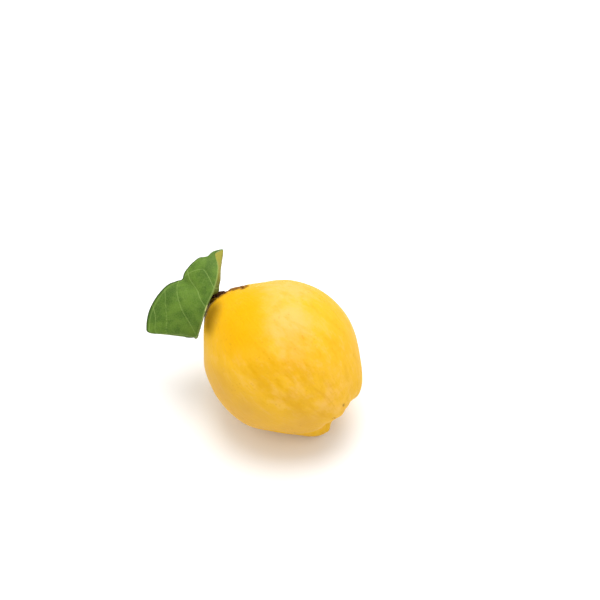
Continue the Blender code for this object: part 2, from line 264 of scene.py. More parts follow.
def mix(tree, factor, first, second, blend="MIX"):
    """A mix of two colours; each is a socket or a colour."""
    return add_node(tree, "ShaderNodeMix", {0: factor, 6: first, 7: second},
                    data_type="RGBA", blend_type=blend).outputs[2]


def stretch(tree, value, low, high, to_low=0.0, to_high=1.0):
    """Maps low..high to to_low..to_high, and clamps what is outside."""
    return add_node(tree, "ShaderNodeMapRange",
                    {"Value": value, "From Min": low, "From Max": high,
                     "To Min": to_low, "To Max": to_high}, interpolation_type="SMOOTHSTEP").outputs[0]


def times(tree, first, second):
    return add_node(tree, "ShaderNodeMath", {0: first, 1: second}, operation="MULTIPLY").outputs[0]


def plus(tree, first, second):
    return add_node(tree, "ShaderNodeMath", {0: first, 1: second}, operation="ADD").outputs[0]


def greater(tree, first, second):
    return add_node(tree, "ShaderNodeMath", {0: first, 1: second}, operation="MAXIMUM").outputs[0]


def dot(tree, vector, way):
    """How far the vector reaches along a way."""
    return add_node(tree, "ShaderNodeVectorMath", {0: vector, 1: way},
                    operation="DOT_PRODUCT").outputs["Value"]


def noise_of(tree, vector, scale, detail=3.0, roughness=0.55):
    """A soft random pattern around 0.5, on the given coordinates."""
    return add_node(tree, "ShaderNodeTexNoise",
                    {"Vector": vector, "Scale": scale, "Detail": detail, "Roughness": roughness}).outputs[0]


def attribute(tree, name, output="Fac"):
    return add_node(tree, "ShaderNodeAttribute", attribute_name=name).outputs[output]


def object_place(tree):
    return add_node(tree, "ShaderNodeTexCoord").outputs["Object"]


def near(tree, place, spot, inner, outer):
    """1 within inner metres of the spot, falling to 0 at outer metres."""
    away = add_node(tree, "ShaderNodeVectorMath", {0: place, 1: spot}, operation="DISTANCE").outputs["Value"]
    return stretch(tree, away, inner, outer, 1.0, 0.0)


def bumped(tree, height, distance, strength=1.0, below=None):
    """A surface direction tilted by the height, on top of the relief below it."""
    inputs = {"Height": height, "Distance": distance, "Strength": strength}
    if below is not None:
        inputs["Normal"] = below
    return add_node(tree, "ShaderNodeBump", inputs).outputs[0]


def new_material(name, **constants):
    """A material with a Principled shader; the constants are set on the shader's own sockets."""
    material = bpy.data.materials.new(name)
    material.use_nodes = True
    shader = material.node_tree.nodes["Principled BSDF"]
    for socket, value in constants.items():
        shader.inputs[socket.replace("_", " ")].default_value = value
    return material, material.node_tree, shader


# %% [markdown]
# ## The skin's colour
#
# Ripe quince skin is a warm golden yellow. Over it lie pale clouds of wax, one of them partly a painted
# highlight, faint orange streaks along the meridians, small darker pores, and a duller tan low on one
# side. A painted sheen lies along the left rim, a painted shadow of the leaf lies on the neck, and painted
# shade darkens the grooves near the calyx and, together with cork, the skin under the stalk. Brown scabs
# sit in the grooves. A little light gets through the skin, which a small subsurface amount gives.
#
# The streaks read the "meridian" attribute that the mesh cell stored: it changes quickly round the
# fruit and slowly along it, so any noise on it is drawn out into streaks by itself. The places of the
# patches are pairs of angles in degrees: how far from the stem pole, and on which side.

# %% Start the skin's material
skin_material, tree, shader = new_material(
    "quince_skin", Roughness=0.52, Specular_IOR_Level=0.06, Subsurface_Weight=0.08,
    Subsurface_Scale=0.003, Sheen_Weight=0.01, Sheen_Roughness=0.45)
shader.inputs["Subsurface Radius"].default_value = (1.0, 0.55, 0.12)
shader.inputs["Sheen Tint"].default_value = linear("FFE9C0")

golden = (0.770, 0.432, 0.020, 1.0)
# the pale tone of the wax, which also paints the highlight
wax_and_highlight_tone = (0.790, 0.455, 0.100, 1.0)
deep = (0.740, 0.378, 0.001, 1.0)
# painted sheen: the desaturated tan of the band along the left rim
painted_rim_sheen = (0.600, 0.365, 0.078, 1.0)
dull = (0.650, 0.358, 0.046, 1.0)
# painted shadow: the olive of the leaf's shadow on the neck
painted_leaf_shadow = (0.250, 0.128, 0.001, 1.0)
dark_brown = (0.120, 0.045, 0.006, 1.0)
orange = (0.640, 0.320, 0.014, 1.0)
gold = (0.670, 0.348, 0.004, 1.0)
straw = (0.810, 0.492, 0.110, 1.0)


def spot_on_skin(from_stem, side):
    """A place on the skin, from angles in degrees."""
    way = direction(radians(from_stem), radians(side))
    return MIDDLE + LIE @ (way * skin_radius(way))


def patch(tree, place, spots, inner, outer):
    """1 round any of the spots, given as angles on the skin, falling to 0 at outer metres."""
    shares = [near(tree, place, spot_on_skin(*spot), inner, outer) for spot in spots]
    total = shares[0]
    for share in shares[1:]:
        total = greater(tree, total, share)
    return total


place = object_place(tree)
clouds = noise_of(tree, place, 55.0, detail=4.0)
print("the skin is", [round(x, 2) for x in golden[:3]], "under the wax")

# %% [markdown]
# Two of the patterns run lengthwise. "along" is the meridian attribute. "drawn_out" is the place with
# part of its length along the fruit squeezed out, so that blotches on it come out longer than broad.

# %% Coordinates that run along the fruit
DRAWN_OUT = 0.55  # the share of the length that is squeezed out

along = add_node(tree, "ShaderNodeVectorMath",
                 {0: attribute(tree, "meridian", "Vector"), 1: (1.0, 1.0, 0.75)},
                 operation="MULTIPLY").outputs[0]
squeeze = add_node(tree, "ShaderNodeVectorMath",
                   {0: DRAWN_OUT * stem_way, "Scale": dot(tree, place, stem_way)}, operation="SCALE")
drawn_out = add_node(tree, "ShaderNodeVectorMath", {0: place, 1: squeeze.outputs[0]},
                     operation="SUBTRACT").outputs[0]
print("blotches are drawn out", round(1 / (1 - DRAWN_OUT), 1), "times")

# %% Wax with a painted highlight, blotches and streaks
specks = noise_of(tree, place, 260.0, detail=3.0)
# the first patch lies where the light falls brightest: it is partly wax bloom and partly a painted highlight
wax_and_highlight = times(tree, patch(tree, place, ((52, 46), (71, 24)), 0.003, 0.026),
            stretch(tree, clouds, 0.28, 0.62, 0.45, 1.0))
wax_and_highlight = plus(tree, wax_and_highlight, times(tree, patch(tree, place, ((100, -8), (136, 7)), 0.004, 0.030),
                            stretch(tree, clouds, 0.34, 0.64, 0.05, 0.65)))
wax_and_highlight = plus(tree, wax_and_highlight, stretch(tree, specks, 0.3, 0.7, -0.12, 0.14))
colour = mix(tree, stretch(tree, wax_and_highlight, 0.0, 1.0), golden, wax_and_highlight_tone)

blotches = noise_of(tree, drawn_out, 62.0, detail=5.0, roughness=0.55)
fine_blotches = noise_of(tree, drawn_out, 190.0, detail=4.0, roughness=0.60)
on_belly = patch(tree, place, ((100, -6), (86, -26), (122, 4)), 0.008, 0.040)
patchy = times(tree, on_belly, stretch(tree, blotches, 0.47, 0.61, 0.0, 0.70))
patchy = plus(tree, patchy, stretch(tree, fine_blotches, 0.50, 0.68, 0.0, 0.36))
colour = mix(tree, patchy, colour, gold)
colour = mix(tree, stretch(tree, fine_blotches, 0.32, 0.48, 0.34, 0.0), colour, straw)

streaks = noise_of(tree, along, 7.0, detail=5.0, roughness=0.62)
streaky = times(tree, patch(tree, place, ((138, 10),), 0.008, 0.046),
                stretch(tree, streaks, 0.50, 0.62, 0.0, 0.40))
colour = mix(tree, streaky, colour, orange)
print("after wax, blotches and streaks:", len(tree.nodes), "nodes")

# %% Deeper and duller zones, painted sheen and painted shadows
SHADE_WAY = Vector((0.94, -0.25, -0.23))  # away from the leaf's edge, across the neck

on_neck = times(tree, patch(tree, place, ((34, 4), (48, -10)), 0.006, 0.026),
                stretch(tree, clouds, 0.2, 0.6, 0.7, 1.0))
colour = mix(tree, on_neck, colour, deep)
# painted sheen: a desaturated tan band along the fruit's left rim
left_flank = MIDDLE + Vector((-MEAN_RADIUS, 0.004, -0.006))
rim_sheen_share = near(tree, place, left_flank, 0.008, 0.023)
colour = mix(tree, times(tree, rim_sheen_share, stretch(tree, clouds, 0.3, 0.6, 0.45, 0.95)), colour, painted_rim_sheen)
on_low_side = patch(tree, place, ((78, -66), (98, -62), (116, -60), (138, -48)), 0.007, 0.026)
colour = mix(tree, times(tree, on_low_side, stretch(tree, clouds, 0.25, 0.7, 0.6, 1.0)), colour, dull)

# painted shadow of the leaf: an olive band on the neck, beside the leaf's edge
shade_middle = spot_on_skin(27, -37)
edge_at = shade_middle.dot(SHADE_WAY)
leaf_shadow_share = times(tree, stretch(tree, dot(tree, place, SHADE_WAY), edge_at - 0.002, edge_at + 0.0065, 1.0, 0.0),
               near(tree, place, shade_middle, 0.005, 0.014))
colour = mix(tree, times(tree, leaf_shadow_share, 0.95), colour, painted_leaf_shadow)
# partly cork and partly painted shade: the skin under the stalk is darkened to brown
cork_and_shade_under_stalk = patch(tree, place, ((11, -14), (12, -34), (9, -60)), 0.0010, 0.0050)
colour = mix(tree, times(tree, cork_and_shade_under_stalk, 0.8), colour, dark_brown)
print("after the zones:", len(tree.nodes), "nodes")

# %% Pores, painted shade in the grooves, scabs and cork
pores = add_node(tree, "ShaderNodeTexVoronoi", {"Vector": place, "Scale": 420.0, "Randomness": 1.0})
pore_dots = stretch(tree, pores.outputs["Distance"], 0.10, 0.28, 1.0, 0.0)
sparse = stretch(tree, noise_of(tree, place, 90.0, detail=1.0), 0.50, 0.66)
colour = mix(tree, times(tree, times(tree, pore_dots, sparse), 0.22), colour, linear("A8661C"))
# painted shade: the grooves between the ribs near the calyx are darkened to orange
colour = mix(tree, times(tree, attribute(tree, "groove"), 0.8), colour, orange)
scabs = stretch(tree, noise_of(tree, along, 60.0, detail=3.0), 0.40, 0.58)
for spot in ((149, 17), (154, -5), (141, -58), (157, 56)):
    mark = spot_on_skin(*spot)
    thin_mark = near(tree, drawn_out, mark - DRAWN_OUT * mark.dot(stem_way) * stem_way, 0.0002, 0.0015)
    colour = mix(tree, times(tree, times(tree, scabs, thin_mark), 0.8), colour, dark_brown)

cork = attribute(tree, "cork")
bark_tone = stretch(tree, noise_of(tree, place, 520.0, detail=5.0), 0.35, 0.68)
colour = mix(tree, cork, colour, mix(tree, bark_tone, linear("4A2A10"), linear("9C6C34")))
tree.links.new(colour, shader.inputs["Base Color"])
tree.links.new(stretch(tree, cork, 0.0, 1.0, 0.48, 0.92), shader.inputs["Roughness"])
print("after pores, scabs and cork:", len(tree.nodes), "nodes")

# %% The skin's grain
skin_grain = noise_of(tree, place, 900.0, detail=3.0)
soft_lumps = bumped(tree, noise_of(tree, along, 22.0, detail=3.0), 0.0006, 0.5)
normal = bumped(tree, skin_grain, 0.00012, 0.6, below=soft_lumps)
normal = bumped(tree, pore_dots, 0.00006, 0.5, below=normal)
tree.links.new(normal, shader.inputs["Normal"])
skin.data.materials.append(skin_material)
print("skin material:", len(tree.nodes), "nodes")

# %% [markdown]
# ## Smooth lines and rods
#
# The stalk, the petiole and the old stamens are thin rods that taper. A smooth line is drawn through a
# few points, then a curve with a round bevel gives it a body, and its mesh can be roughened
# like any other.

# %% Helpers for lines and rods
FINE_STEPS = 24  # points between two corners before they are spaced evenly


def curve_through(corners, count):
    """count points, evenly spaced, on a smooth curve through the corners."""
    corners = [Vector(corner) for corner in corners]
    ends = [2 * corners[0] - corners[1]] + corners + [2 * corners[-1] - corners[-2]]
    fine = []
    for i in range(1, len(corners)):
        before, start, end, after = ends[i - 1:i + 3]
        for j in range(FINE_STEPS):
            t = j / FINE_STEPS
            fine.append(0.5 * (2 * start + (end - before) * t
                               + (2 * before - 5 * start + 4 * end - after) * t ** 2
                               + (3 * start - before - 3 * end + after) * t ** 3))
    fine.append(corners[-1])
    run = [0.0]
    for a, b in zip(fine, fine[1:]):
        run.append(run[-1] + (b - a).length)
    points, i = [], 0
    for k in range(count):
        want = run[-1] * k / (count - 1)
        while i < len(run) - 2 and run[i + 1] < want:
            i += 1
        points.append(fine[i].lerp(fine[i + 1], (want - run[i]) / (run[i + 1] - run[i])))
    return points


def at_share(points, share):
    """The point at this share of an evenly spaced run of points."""
    place = min(max(share, 0.0), 1.0) * (len(points) - 1)
    i = min(int(place), len(points) - 2)
    return points[i].lerp(points[i + 1], place - i)


def rod(points, radii, resolution=3):
    """A closed rod of changing radius along the points, as a bmesh."""
    line = bpy.data.curves.new("rod", "CURVE")
    line.dimensions = "3D"
    line.bevel_depth = 1.0
    line.bevel_resolution = resolution
    line.use_fill_caps = True
    spline = line.splines.new("POLY")
    spline.points.add(len(points) - 1)
    for knot, point, radius in zip(spline.points, points, radii):
        knot.co = (*point, 1.0)
        knot.radius = radius
    guide = bpy.data.objects.new("rod", line)
    mesh = bpy.data.meshes.new_from_object(guide)
    bpy.data.objects.remove(guide)
    bpy.data.curves.remove(line)
    shape = bmesh.new()
    shape.from_mesh(mesh)
    bpy.data.meshes.remove(mesh)
    bmesh.ops.remove_doubles(shape, verts=shape.verts, dist=1e-6)
    bmesh.ops.recalc_face_normals(shape, faces=shape.faces)
    return shape


def add_to(target, shape):
    """Adds one bmesh to another and frees it."""
    mesh = bpy.data.meshes.new("added")
    shape.to_mesh(mesh)
    shape.free()
    target.from_mesh(mesh)
    bpy.data.meshes.remove(mesh)


def roughen(shape, scale, height):
    """Pushes every vertex along its normal by a soft random amount."""
    shape.normal_update()
    shifts = [vert.normal * height * noise.noise(vert.co * scale) for vert in shape.verts]
    for vert, shift in zip(shape.verts, shifts):
        vert.co += shift


# %% [markdown]
# ## The leaf's own axes
#
# The leaf is easiest to draw face-on: X to the right, Y up its face and Z out of it, in millimetres.
# leaf_point tilts those axes to where the leaf hangs at the stalk.

# %% Where the leaf hangs
FACE_TILT = radians(43)
LEAF_ROOT = Vector((-0.0390, 0.0260, 0.0270))


def leaf_point(x, y, z):
    """A point on the leaf's axes, in millimetres, as a place in the model."""
    return MIDDLE + LEAF_ROOT + Matrix.Rotation(FACE_TILT, 3, "X") @ (Vector((x, y, z)) * MM)


# %% [markdown]
# ## The stalk
#
# Only a stub of the woody spur is left, dark and cracked. Its foot swells where it is sunk in the dimple
# at the stem end, and it lies down along the neck to where the leaf's petiole starts. A broken side
# shoot leaves the same foot.

# %% Make the stalk
STALK_END = (-0.9, -1.1, -1.2)
STALK_RADIUS, FLARE, FLARE_FADE = 0.00120, 0.6, 22  # the bark swells by this share, over these points
STALK_LIFT, KNEE_LIFT, KNEE_SIDE = 0.0012, 0.0002, 0.0008
SPUR_BEND, SPUR_END, SPUR_RADIUS = (-2.0, -2.7, -2.0), (-3.9, -4.8, -3.0), 0.0016  # the broken side shoot
STALK_POINTS, SPUR_POINTS = 60, 30
BURIED = 0.0015  # how deep the stalk's foot is sunk into the cork of the dimple
GAP = 0.0003

stem_pole = direction(0.0, 0.0)
stalk_root = MIDDLE + stem_way * (skin_radius(stem_pole) + STALK_LIFT)
stalk_knee = stalk_root + KNEE_LIFT * stem_way - Vector((KNEE_SIDE, 0, 0))
stalk_foot = stalk_root - stem_way * (STALK_LIFT + BURIED)
stalk_line = curve_through((stalk_foot, stalk_root, stalk_knee, leaf_point(*STALK_END)), STALK_POINTS)
stalk_radii = [STALK_RADIUS * (1 + FLARE * exp(-k / FLARE_FADE) + 0.05 * sin(0.9 * k))
               for k in range(STALK_POINTS)]
stalk_shape = rod(stalk_line, stalk_radii, resolution=8)
spur_line = curve_through((stalk_foot, leaf_point(*SPUR_BEND), leaf_point(*SPUR_END)), SPUR_POINTS)
spur_radii = [SPUR_RADIUS * (1 + 0.12 * sin(1.1 * k)) for k in range(SPUR_POINTS)]
add_to(stalk_shape, rod(spur_line, spur_radii, resolution=8))
roughen(stalk_shape, 900, 0.00022)
roughen(stalk_shape, 2600, 0.00010)

bark, tree, shader = new_material("woody_stalk", Roughness=0.85, Specular_IOR_Level=0.25)
place = object_place(tree)
cracks = noise_of(tree, place, 1100.0, detail=6.0, roughness=0.65)
tree.links.new(mix(tree, stretch(tree, cracks, 0.35, 0.68), linear("2A1409"), linear("6B4423")),
               shader.inputs["Base Color"])
tree.links.new(bumped(tree, cracks, 0.0003, 0.9), shader.inputs["Normal"])
stalk = piece_from(stalk_shape, "stalk_bark", bark)
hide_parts("stalk")
print("stalk:", len(stalk.data.polygons), "faces")

# %% [markdown]
# ## The leaf blade
#
# The leaf has folded along its midrib: one half lies open, and the other is tucked behind it. The blade
# is a flat grid whose two directions are the share of the way from base to tip, and the way across from
# the back margin, over the midrib, to the open margin. Each grid point moves to its place between the
# midrib and a margin, and rows that end in one point at the base and the tip are merged.
#
# Veins are drawn as smooth lines on the leaf's own axes. Every vertex stores how far it is from the
# nearest vein, so the skin can quilt up between the veins and the material can draw them as crisp lines.

# %% The leaf's lines
MIDRIB = ((-10.2, -25.0, 2.5), (-8.2, -19.0, 6.8), (-6.1, -13.0, 10.0), (-3.8, -6.5, 12.0), (-0.9, 0.0, 12.2),
          (0.9, 6.0, 10.8), (1.6, 11.6, 8.6), (1.3, 15.4, 6.2), (-0.1, 19.4, 3.0), (-0.8, 21.6, 1.4),
          (0.8, 23.1, 0.2), (3.8, 24.4, -1.5))
OPEN_MARGIN = ((-10.2, -25.0, 2.5), (-17.5, -24.7, 2.0), (-28.5, -23.4, 3.5), (-37.2, -22.4, 5.0),
               (-38.6, -19.5, 5.5), (-37.2, -11.0, 6.5), (-33.2, -3.0, 6.0), (-27.2, 3.8, 4.5),
               (-22.0, 6.2, 2.5), (-18.6, 7.4, 1.5), (-17.3, 11.0, 2.5), (-14.4, 14.9, 3.2),
               (-11.5, 17.7, 3.4), (-9.2, 19.4, 3.2), (-6.4, 19.9, 2.8), (-4.2, 20.4, 2.2),
               (-2.6, 22.0, 1.4), (-1.2, 23.1, 0.9), (1.2, 23.9, -0.2), (3.8, 24.4, -1.5))
# the line where the other half turns over behind the first, and the margin of that half
FOLD_EDGE = ((-10.2, -25.0, 2.5), (-7.8, -19.0, 6.2), (-5.5, -13.0, 8.8), (-2.8, -6.5, 10.4),
             (1.5, -0.5, 10.2), (2.4, 5.0, 8.4), (2.7, 8.5, 6.0), (2.6, 12.0, 4.0), (2.8, 16.4, 2.0),
             (3.2, 20.4, 0.0), (3.6, 22.8, -0.8), (3.8, 24.4, -1.5))
BACK_MARGIN = ((-10.2, -25.0, 2.5), (-18.0, -25.0, -3.0), (-26.0, -20.0, -11.0), (-27.0, -10.0, -17.0),
               (-20.0, 0.0, -19.5), (-9.0, 7.0, -17.5), (0.5, 14.0, -12.5), (3.3, 20.5, -6.5),
               (3.8, 24.4, -1.5))
TURN_SHARE = 0.3  # how much of the back half lies before it turns over
TURN_FROM, TURN_TO = 0.62, 0.74  # below the first it hangs straight back, above the second it turns over
OPEN_ARCH, BACK_HANG = 1.2, 6.0  # how far each half bows between the midrib and its margin, in mm
MARGIN_WAVE, WAVE_TURNS = 0.5, 9  # the waves along the open margin, in mm
PETIOLE = ((-2.5, -1.6, -1.2), (-4.8, -4.8, -2.2), (-7.4, -11.5, -3.2), (-10.0, -18.5, -2.6),
           (-11.4, -23.4, -1.0), (-11.0, -25.4, 1.2), (-10.0, -23.6, 3.2))
RIB_SHARE = 0.86  # how far up the blade the midrib stands proud
# the side veins of the open half, each from near the midrib out to the margin
VEINS = (((-10.3, -24.7), (-13.3, -18.5), (-15.6, -14.5), (-17.9, -10.5), (-19.6, -6.0), (-20.7, -2.6),
          (-21.3, 2.6), (-20.6, 6.3)),
         ((-4.6, -8.8), (-5.4, -7.1), (-7.1, -4.8), (-8.5, -2.0), (-9.4, 0.9), (-11.6, 4.3), (-13.9, 7.7),
          (-15.4, 12.6)),
         ((-0.1, 2.4), (-1.6, 5.4), (-4.3, 10.5), (-6.5, 12.8), (-9.9, 12.6), (-13.3, 11.4), (-16.8, 9.4)),
         ((-10.3, -24.9), (-19.0, -23.6), (-27.0, -23.0), (-27.0, -15.6), (-27.5, -6.5), (-28.1, 3.1)),
         ((-27.0, -23.0), (-33.2, -22.4), (-33.2, -14.5), (-34.4, -8.8), (-35.5, -6.0)))
LINE_POINTS, VEIN_POINTS = 240, 60

midrib, open_margin, fold_edge, back_margin = (
    curve_through(line, LINE_POINTS) for line in (MIDRIB, OPEN_MARGIN, FOLD_EDGE, BACK_MARGIN))
vein_lines = [curve_through([(x, y, 0) for x, y in corners], VEIN_POINTS) for corners in VEINS]
print("side veins:", len(vein_lines))


def blade_point(share, across):
    """A point of the blade in mm: share runs from base to tip, across from back margin to open margin."""
    spine = at_share(midrib, share ** 2)
    if across >= 0:
        edge = at_share(open_margin, share ** 0.85)
        place = spine.lerp(edge, across)
        arch = 4 * across * (1 - across)
        place.z += OPEN_ARCH * arch * sin(pi * share)
        place.z += MARGIN_WAVE * sin(WAVE_TURNS * pi * share) * across ** 2 * sin(pi * share)
        return place
    away = -across
    fold, edge = at_share(fold_edge, share ** 2), at_share(back_margin, share)
    straight = spine.lerp(edge, away)
    straight.z -= BACK_HANG * away * (1 - away) * sin(pi * share)
    # a quarter of an oval from the midrib to the fold's edge, then a softer bend from there to the margin
    if away < TURN_SHARE:
        angle = pi / 2 * away / TURN_SHARE
        turned = spine.lerp(fold, sin(angle))
        turned.z = spine.z + (fold.z - spine.z) * (1 - cos(angle))
    else:
        beyond = (away - TURN_SHARE) / (1 - TURN_SHARE)
        turned = fold.lerp(edge, beyond)
        turned.z = fold.z + (edge.z - fold.z) * sin(pi / 2 * beyond)
    return straight.lerp(turned, smooth_step(TURN_FROM, TURN_TO, share))


def to_line(point, line):
    """The distance from a point to a line of points, measured on the leaf's face."""
    return min((Vector((point.x, point.y, 0)) - spot).length for spot in line)


# %% Make the blade
BLADE_ROWS, BLADE_COLUMNS = 150, 100
BLADE_THICKNESS = 0.35 * MM
QUILT, QUILT_SPREAD = 0.22 * MM, 1.3  # how far the blade stands up between veins, how far from one in mm
CRINKLE, FINE_CRINKLE = 0.10 * MM, 0.05 * MM
LIFT = 0.4 * MM  # how far the face lies above the leaf's lines: halfway through the plain blade

blade_shape = bmesh.new()
bmesh.ops.create_grid(blade_shape, x_segments=BLADE_COLUMNS, y_segments=BLADE_ROWS, size=1.0)
vein_layer = blade_shape.verts.layers.float.new("vein")
across_layer = blade_shape.verts.layers.float.new("across")
share_layer = blade_shape.verts.layers.float.new("share")
for vert in blade_shape.verts:
    share, across = (vert.co.y + 1) / 2, vert.co.x
    vert[share_layer], vert[across_layer] = share, across
    mirrored = blade_point(share, abs(across))
    vert[vein_layer] = min(to_line(mirrored, line) for line in vein_lines)
    vert.co = leaf_point(*blade_point(share, across))
bmesh.ops.remove_doubles(blade_shape, verts=blade_shape.verts, dist=1e-6)
bmesh.ops.recalc_face_normals(blade_shape, faces=blade_shape.faces)
blade_shape.normal_update()
face_on = Matrix.Rotation(FACE_TILT, 3, "X") @ Vector((0, 0, 1))
open_face = min(blade_shape.faces, key=lambda f: (f.calc_center_median() - leaf_point(-25, -10, 6)).length)
if open_face.normal.dot(face_on) < 0:
    bmesh.ops.reverse_faces(blade_shape, faces=blade_shape.faces)
    blade_shape.normal_update()
lifts = []
for vert in blade_shape.verts:
    fade = 1 - smooth_step(0.90, 1.0, abs(vert[across_layer]))
    quilt = QUILT * (1 - bump(vert[vein_layer], QUILT_SPREAD)) * fade
    crinkle = CRINKLE * noise.noise(vert.co * 260) + FINE_CRINKLE * noise.noise(vert.co * 620)
    lifts.append(vert.normal * (LIFT + quilt + crinkle))
for vert, lift in zip(blade_shape.verts, lifts):
    vert.co += lift
print("blade:", len(blade_shape.faces), "faces before it gets its thickness")

# %% [markdown]
# ## The leaf's colours
#
# The face that shows is the upper side: matte green with fine pale veins and a grey bloom towards the tip.
# Along the margin lie a painted shade on the rim and a painted highlight just inside it. Behind the
# midrib it has begun to turn yellow, and painted shade darkens its lower part there. The other side is
# grey-green. Two materials on one blade do this: the Solidify modifier gives the shell that it adds the
# second one.

# %% The leaf's two faces
def leaf_material(name, ground, light, vein_tone, turning, roughness):
    """A leaf surface with veins from the stored distances and a fine net between them."""
    material, tree, shader = new_material(name, Roughness=roughness, Specular_IOR_Level=0.15,
                                          Subsurface_Weight=0.06, Subsurface_Scale=0.0012)
    shader.inputs["Subsurface Radius"].default_value = (0.5, 1.0, 0.2)
    place = object_place(tree)
    across, share = attribute(tree, "across"), attribute(tree, "share")
    rim_shade_tone = tuple(0.45 * x for x in ground[:3]) + (1.0,)
    grey_bloom = (light[0] * 1.3, light[1] * 1.15, light[2] * 2.6, 1.0)
    mottle = noise_of(tree, place, 140.0, detail=4.0)
    colour = mix(tree, stretch(tree, mottle, 0.32, 0.68), ground, light)
    greyed = times(tree, stretch(tree, share, 0.72, 0.97), 0.40)
    colour = mix(tree, greyed, colour, grey_bloom)
    behind = stretch(tree, across, -0.02, 0.03, 1.0, 0.0)
    upward = stretch(tree, share, 0.45, 0.80)
    # painted shade: the lower part of the turned-over half is a darker copy of its yellow
    painted_shade_olive = (turning[0] * 0.30, turning[1] * 0.40, turning[2] * 0.4, 1.0)
    yellowed_and_shaded = mix(tree, stretch(tree, share, 0.71, 0.89), painted_shade_olive, turning)
    colour = mix(tree, times(tree, behind, upward), colour, yellowed_and_shaded)
    net = add_node(tree, "ShaderNodeTexVoronoi", {"Vector": place, "Scale": 900.0},
                   feature="DISTANCE_TO_EDGE").outputs["Distance"]
    net_lines = stretch(tree, net, 0.0, 0.12, 1.0, 0.0)
    colour = mix(tree, times(tree, net_lines, 0.16), colour, vein_tone)
    veins = stretch(tree, attribute(tree, "vein"), 0.16, 0.42, 1.0, 0.0)
    outward = add_node(tree, "ShaderNodeMath", {0: across}, operation="ABSOLUTE").outputs[0]
    lines = greater(tree, veins, stretch(tree, outward, 0.012, 0.03, 1.0, 0.0))
    colour = mix(tree, times(tree, lines, 0.38), colour, vein_tone)
    # painted highlight: a pale line just inside the margin
    rim_highlight = times(tree, stretch(tree, outward, 0.92, 0.94), stretch(tree, outward, 0.94, 0.96, 1.0, 0.0))
    colour = mix(tree, times(tree, rim_highlight, 0.20), colour, vein_tone)
    # painted shade: a dark rim along the margin
    colour = mix(tree, stretch(tree, outward, 0.962, 0.985, 0.0, 0.85), colour, rim_shade_tone)
    tree.links.new(colour, shader.inputs["Base Color"])
    relief = bumped(tree, net_lines, -0.00008, 0.7)
    relief = bumped(tree, lines, -0.00015, 0.6, below=relief)
    tree.links.new(relief, shader.inputs["Normal"])
    return material


leaf_top = leaf_material("leaf_top", (0.052, 0.115, 0.009, 1.0), (0.100, 0.185, 0.018, 1.0),
                         (0.30, 0.42, 0.11, 1.0), (0.30, 0.275, 0.038, 1.0), 0.6)
leaf_back = leaf_material("leaf_underside", linear("7F9160"), linear("93A276"), linear("B7BE95"),
                          linear("B5B070"), 0.8)
blade = piece_from(blade_shape, "leaf_blade", leaf_top, leaf_back)
wall = blade.modifiers.new("thickness", "SOLIDIFY")
wall.thickness = BLADE_THICKNESS
wall.offset = -1
wall.material_offset = 1
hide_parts("leaf")
print("blade box, mm:", [round(1000 * x, 1) for x in blade.dimensions])

# %% [markdown]
# ## The petiole and midrib
#
# The petiole runs from the stalk down behind the blade, hooks round at its base and goes on as the
# midrib, which stands a little proud of the fold and thins out towards the tip.

# %% Make the petiole and midrib
PETIOLE_RADIUS, MIDRIB_RADIUS, TIP_RADIUS = 0.00095, 0.00052, 0.00030
PETIOLE_POINTS, RIB_STEPS = 60, 90
petiole_line = [leaf_point(*spot) for spot in curve_through(PETIOLE, PETIOLE_POINTS)]
rib_line = [leaf_point(*at_share(midrib, RIB_SHARE * k / RIB_STEPS)) for k in range(2, RIB_STEPS + 1)]
rib_radii = [PETIOLE_RADIUS] * len(petiole_line)
rib_radii += [MIDRIB_RADIUS + (TIP_RADIUS - MIDRIB_RADIUS) * k / len(rib_line)
              for k in range(len(rib_line))]
rib_shape = rod(petiole_line + rib_line, rib_radii, resolution=4)
roughen(rib_shape, 800, 0.00006)

rib_material, tree, shader = new_material("petiole", Roughness=0.6, Specular_IOR_Level=0.35)
place = object_place(tree)
fleck = noise_of(tree, place, 700.0, detail=4.0)
brown = mix(tree, stretch(tree, fleck, 0.35, 0.65), linear("4A2A1C"), linear("6E4A2E"))
pale_rib = mix(tree, stretch(tree, fleck, 0.35, 0.65), linear("A8AE62"), linear("C3C487"))
in_front = stretch(tree, dot(tree, place, face_on),
                   leaf_point(0, 0, 0.6).dot(face_on), leaf_point(0, 0, 3.0).dot(face_on))
green_base = near(tree, place, leaf_point(-9.5, -22.0, 4.0), 0.006, 0.014)
rib_colour = mix(tree, times(tree, green_base, 0.85), pale_rib, linear("5E7A36"))
tree.links.new(mix(tree, in_front, brown, rib_colour), shader.inputs["Base Color"])
tree.links.new(bumped(tree, fleck, 0.0001, 0.6), shader.inputs["Normal"])
petiole = piece_from(rib_shape, "leaf_petiole", rib_material)
print("petiole and midrib:", len(petiole.data.polygons), "faces")

# %% [markdown]
# ## The calyx
#
# At the other end, five dry sepals and the old stamens stand in the basin. A sepal is a narrow grid laid
# up the basin's wall and given a thickness; its edges are ragged and its tip stands off the wall.

# %% Make the calyx
# where each sepal stands in degrees, and the angle it reaches to from the calyx pole
SEPALS = ((-12, 0.21), (46, 0.23), (116, 0.20), (190, 0.22), (265, 0.21))
SEPAL_HALF_WIDTH, SEPAL_THICKNESS = 0.0027, 0.0004
RAGGED, CUPPED = 0.22, 0.0007  # how much its breadth varies, how high its sides stand
STAMENS, STAMEN_RADIUS, STAMEN_HEIGHT = 24, 0.00022, 0.0044
STAMEN_POINTS = 14
BUTTON_REACH, BUTTON_HEIGHT = 0.10, 0.0026
SEPAL_START, SEPAL_LIFT, TIP_LIFT = 0.05, 0.0022, 0.0014  # where a sepal starts, how high it and its tip lie


def calyx_place(from_calyx, side, lift):
    """A place above the basin's wall."""
    way = direction(pi - from_calyx, side)
    return MIDDLE + LIE @ (way * (skin_radius(way) + lift))


